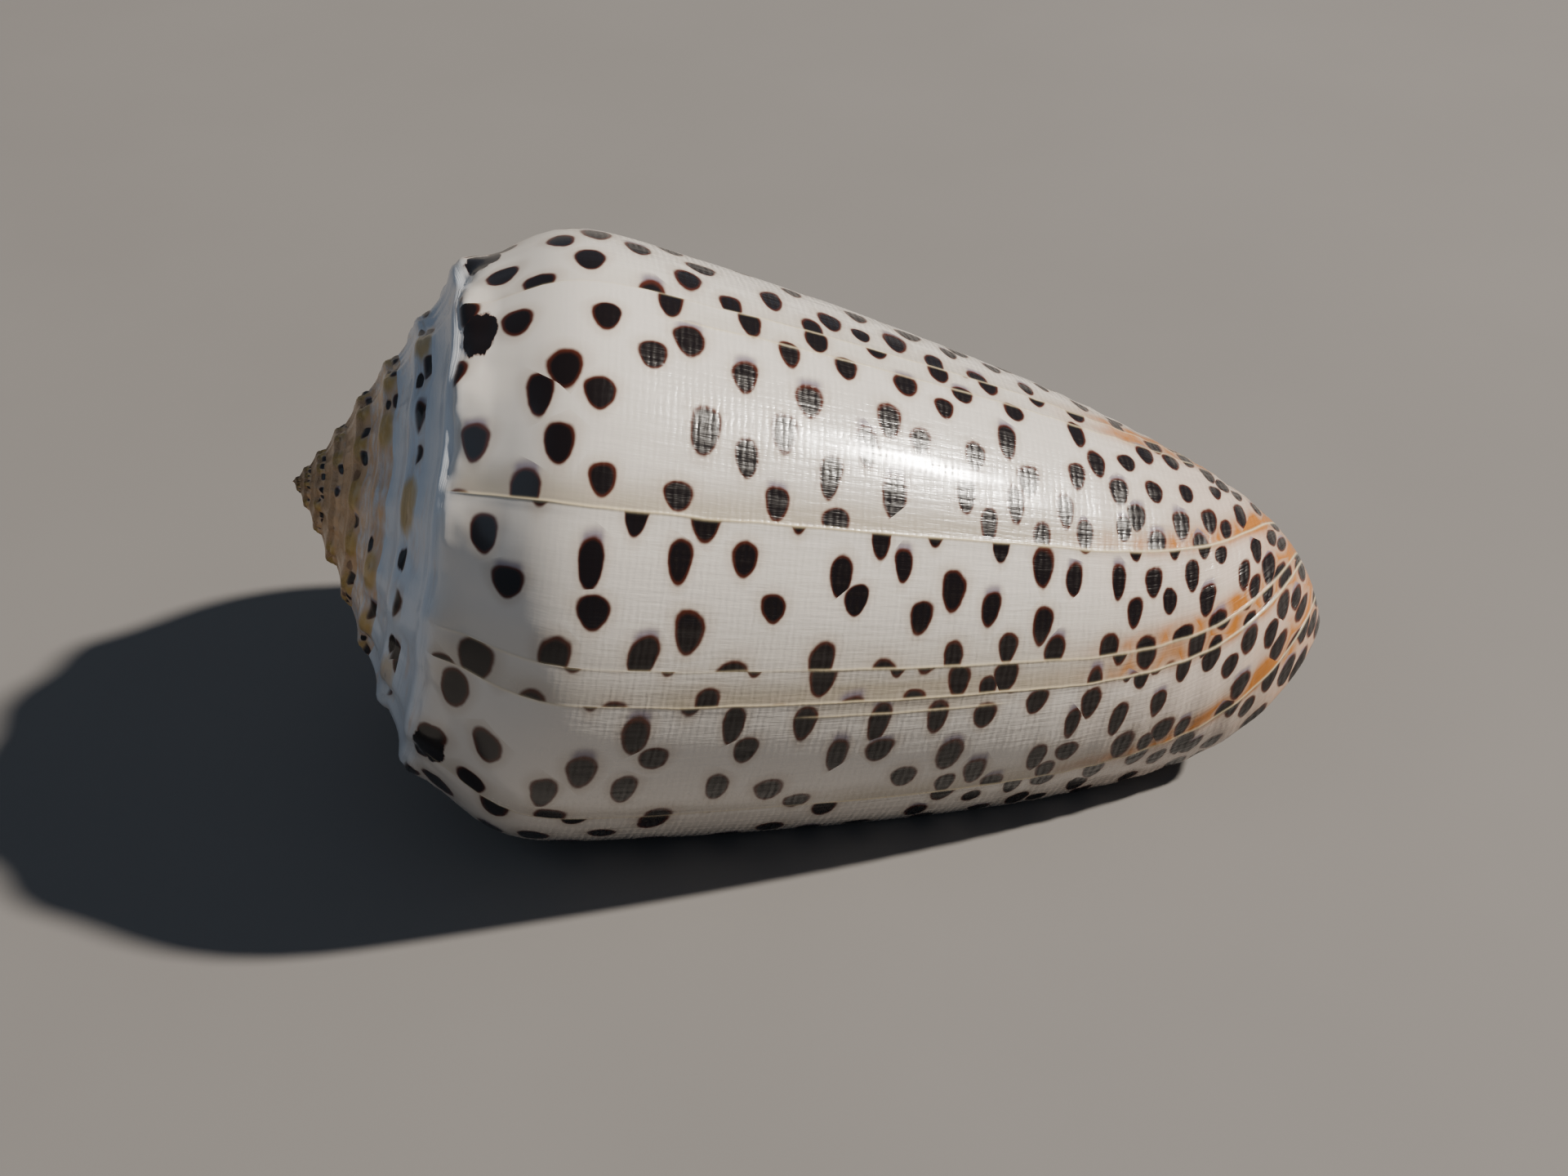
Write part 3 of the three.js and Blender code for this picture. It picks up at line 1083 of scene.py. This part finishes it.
def add_sky(context, stage):
    world = bpy.data.worlds.new("soft_sky")
    m = new_maker(world)
    sky = m.node("ShaderNodeBackground", None, {"Color": SKY_COLOUR, "Strength": stage.sky})
    m.node("ShaderNodeOutputWorld", None, {"Surface": m.wire(sky)})
    context.scene.world = world


def add_camera(context, stage):
    """The camera, looking at the shell's side from in front and above."""
    yaw, roll = stage.camera_yaw, stage.camera_roll
    back = direction(stage.camera_elevation, yaw - math.pi / 2)
    level_right = Vector((math.cos(yaw), math.sin(yaw), 0))
    level_up = back.cross(level_right)
    right = level_right * math.cos(roll) + level_up * math.sin(roll)
    up = level_up * math.cos(roll) - level_right * math.sin(roll)
    aim = (CAD_LOW + CAD_HIGH) / 2 + Vector(stage.aim)
    data = bpy.data.cameras.new("camera")
    data.lens = stage.focal_length
    data.sensor_width = 36.0
    data.clip_start = 0.005
    camera = bpy.data.objects.new("camera", data)
    turned = Matrix((right, up, back)).transposed().to_4x4()
    camera.matrix_world = Matrix.Translation(aim + back * stage.camera_distance) @ turned
    context.collection.objects.link(camera)
    context.scene.camera = camera


class CONESHELL_OT_grow(bpy.types.Operator):
    """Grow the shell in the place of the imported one"""

    bl_idname = "coneshell.grow"
    bl_label = "Grow the shell"

    def execute(self, context):
        form = context.scene.cone_shell_form
        material = shell_material(context.scene.cone_shell_colours, form)
        shell = grown_mesh(context, form, material)
        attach(shell, BODY)
        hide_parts(NODE)
        return {"FINISHED"}


class CONESHELL_OT_stage(bpy.types.Operator):
    """Set the floor, the lights and the camera"""

    bl_idname = "coneshell.stage"
    bl_label = "Set the stage"

    def execute(self, context):
        stage = context.scene.cone_shell_stage
        floor = add_floor(context, stage)
        floor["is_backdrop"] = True
        add_light(context, KEY, direction(stage.key_elevation, stage.key_bearing), stage.key_power)
        add_light(context, FILL, direction(stage.fill_elevation, stage.fill_bearing), stage.fill_power)
        add_sky(context, stage)
        add_camera(context, stage)
        return {"FINISHED"}


class CONESHELL_PT_panel(bpy.types.Panel):
    """The shell's sizes, colours and stage"""

    bl_label = "Cone Shell"
    bl_idname = "CONESHELL_PT_panel"
    bl_space_type = "VIEW_3D"
    bl_region_type = "UI"
    bl_category = "Cone Shell"

    def draw(self, context):
        scene = context.scene
        for group in (scene.cone_shell_form, scene.cone_shell_colours, scene.cone_shell_stage):
            box = self.layout.box()
            for name in type(group).__annotations__:
                box.prop(group, name)
        self.layout.operator(CONESHELL_OT_grow.bl_idname)
        self.layout.operator(CONESHELL_OT_stage.bl_idname)


CLASSES = (ShellForm, ShellColours, ShellStage, CONESHELL_OT_grow, CONESHELL_OT_stage, CONESHELL_PT_panel)


def register():
    for cls in CLASSES:
        bpy.utils.register_class(cls)
    bpy.types.Scene.cone_shell_form = PointerProperty(type=ShellForm)
    bpy.types.Scene.cone_shell_colours = PointerProperty(type=ShellColours)
    bpy.types.Scene.cone_shell_stage = PointerProperty(type=ShellStage)


def unregister():
    del bpy.types.Scene.cone_shell_stage
    del bpy.types.Scene.cone_shell_colours
    del bpy.types.Scene.cone_shell_form
    for cls in reversed(CLASSES):
        bpy.utils.unregister_class(cls)


def write_sizes():
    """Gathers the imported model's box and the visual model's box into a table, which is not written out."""
    low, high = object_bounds()
    sizes = {
        "cad": [list(CAD_LOW), list(CAD_HIGH)],
        "visual": [list(low), list(high)],
    }


def main():
    register()
    bpy.ops.coneshell.grow()
    bpy.ops.coneshell.stage()
    write_sizes()


if __name__ == "__main__":
    main()
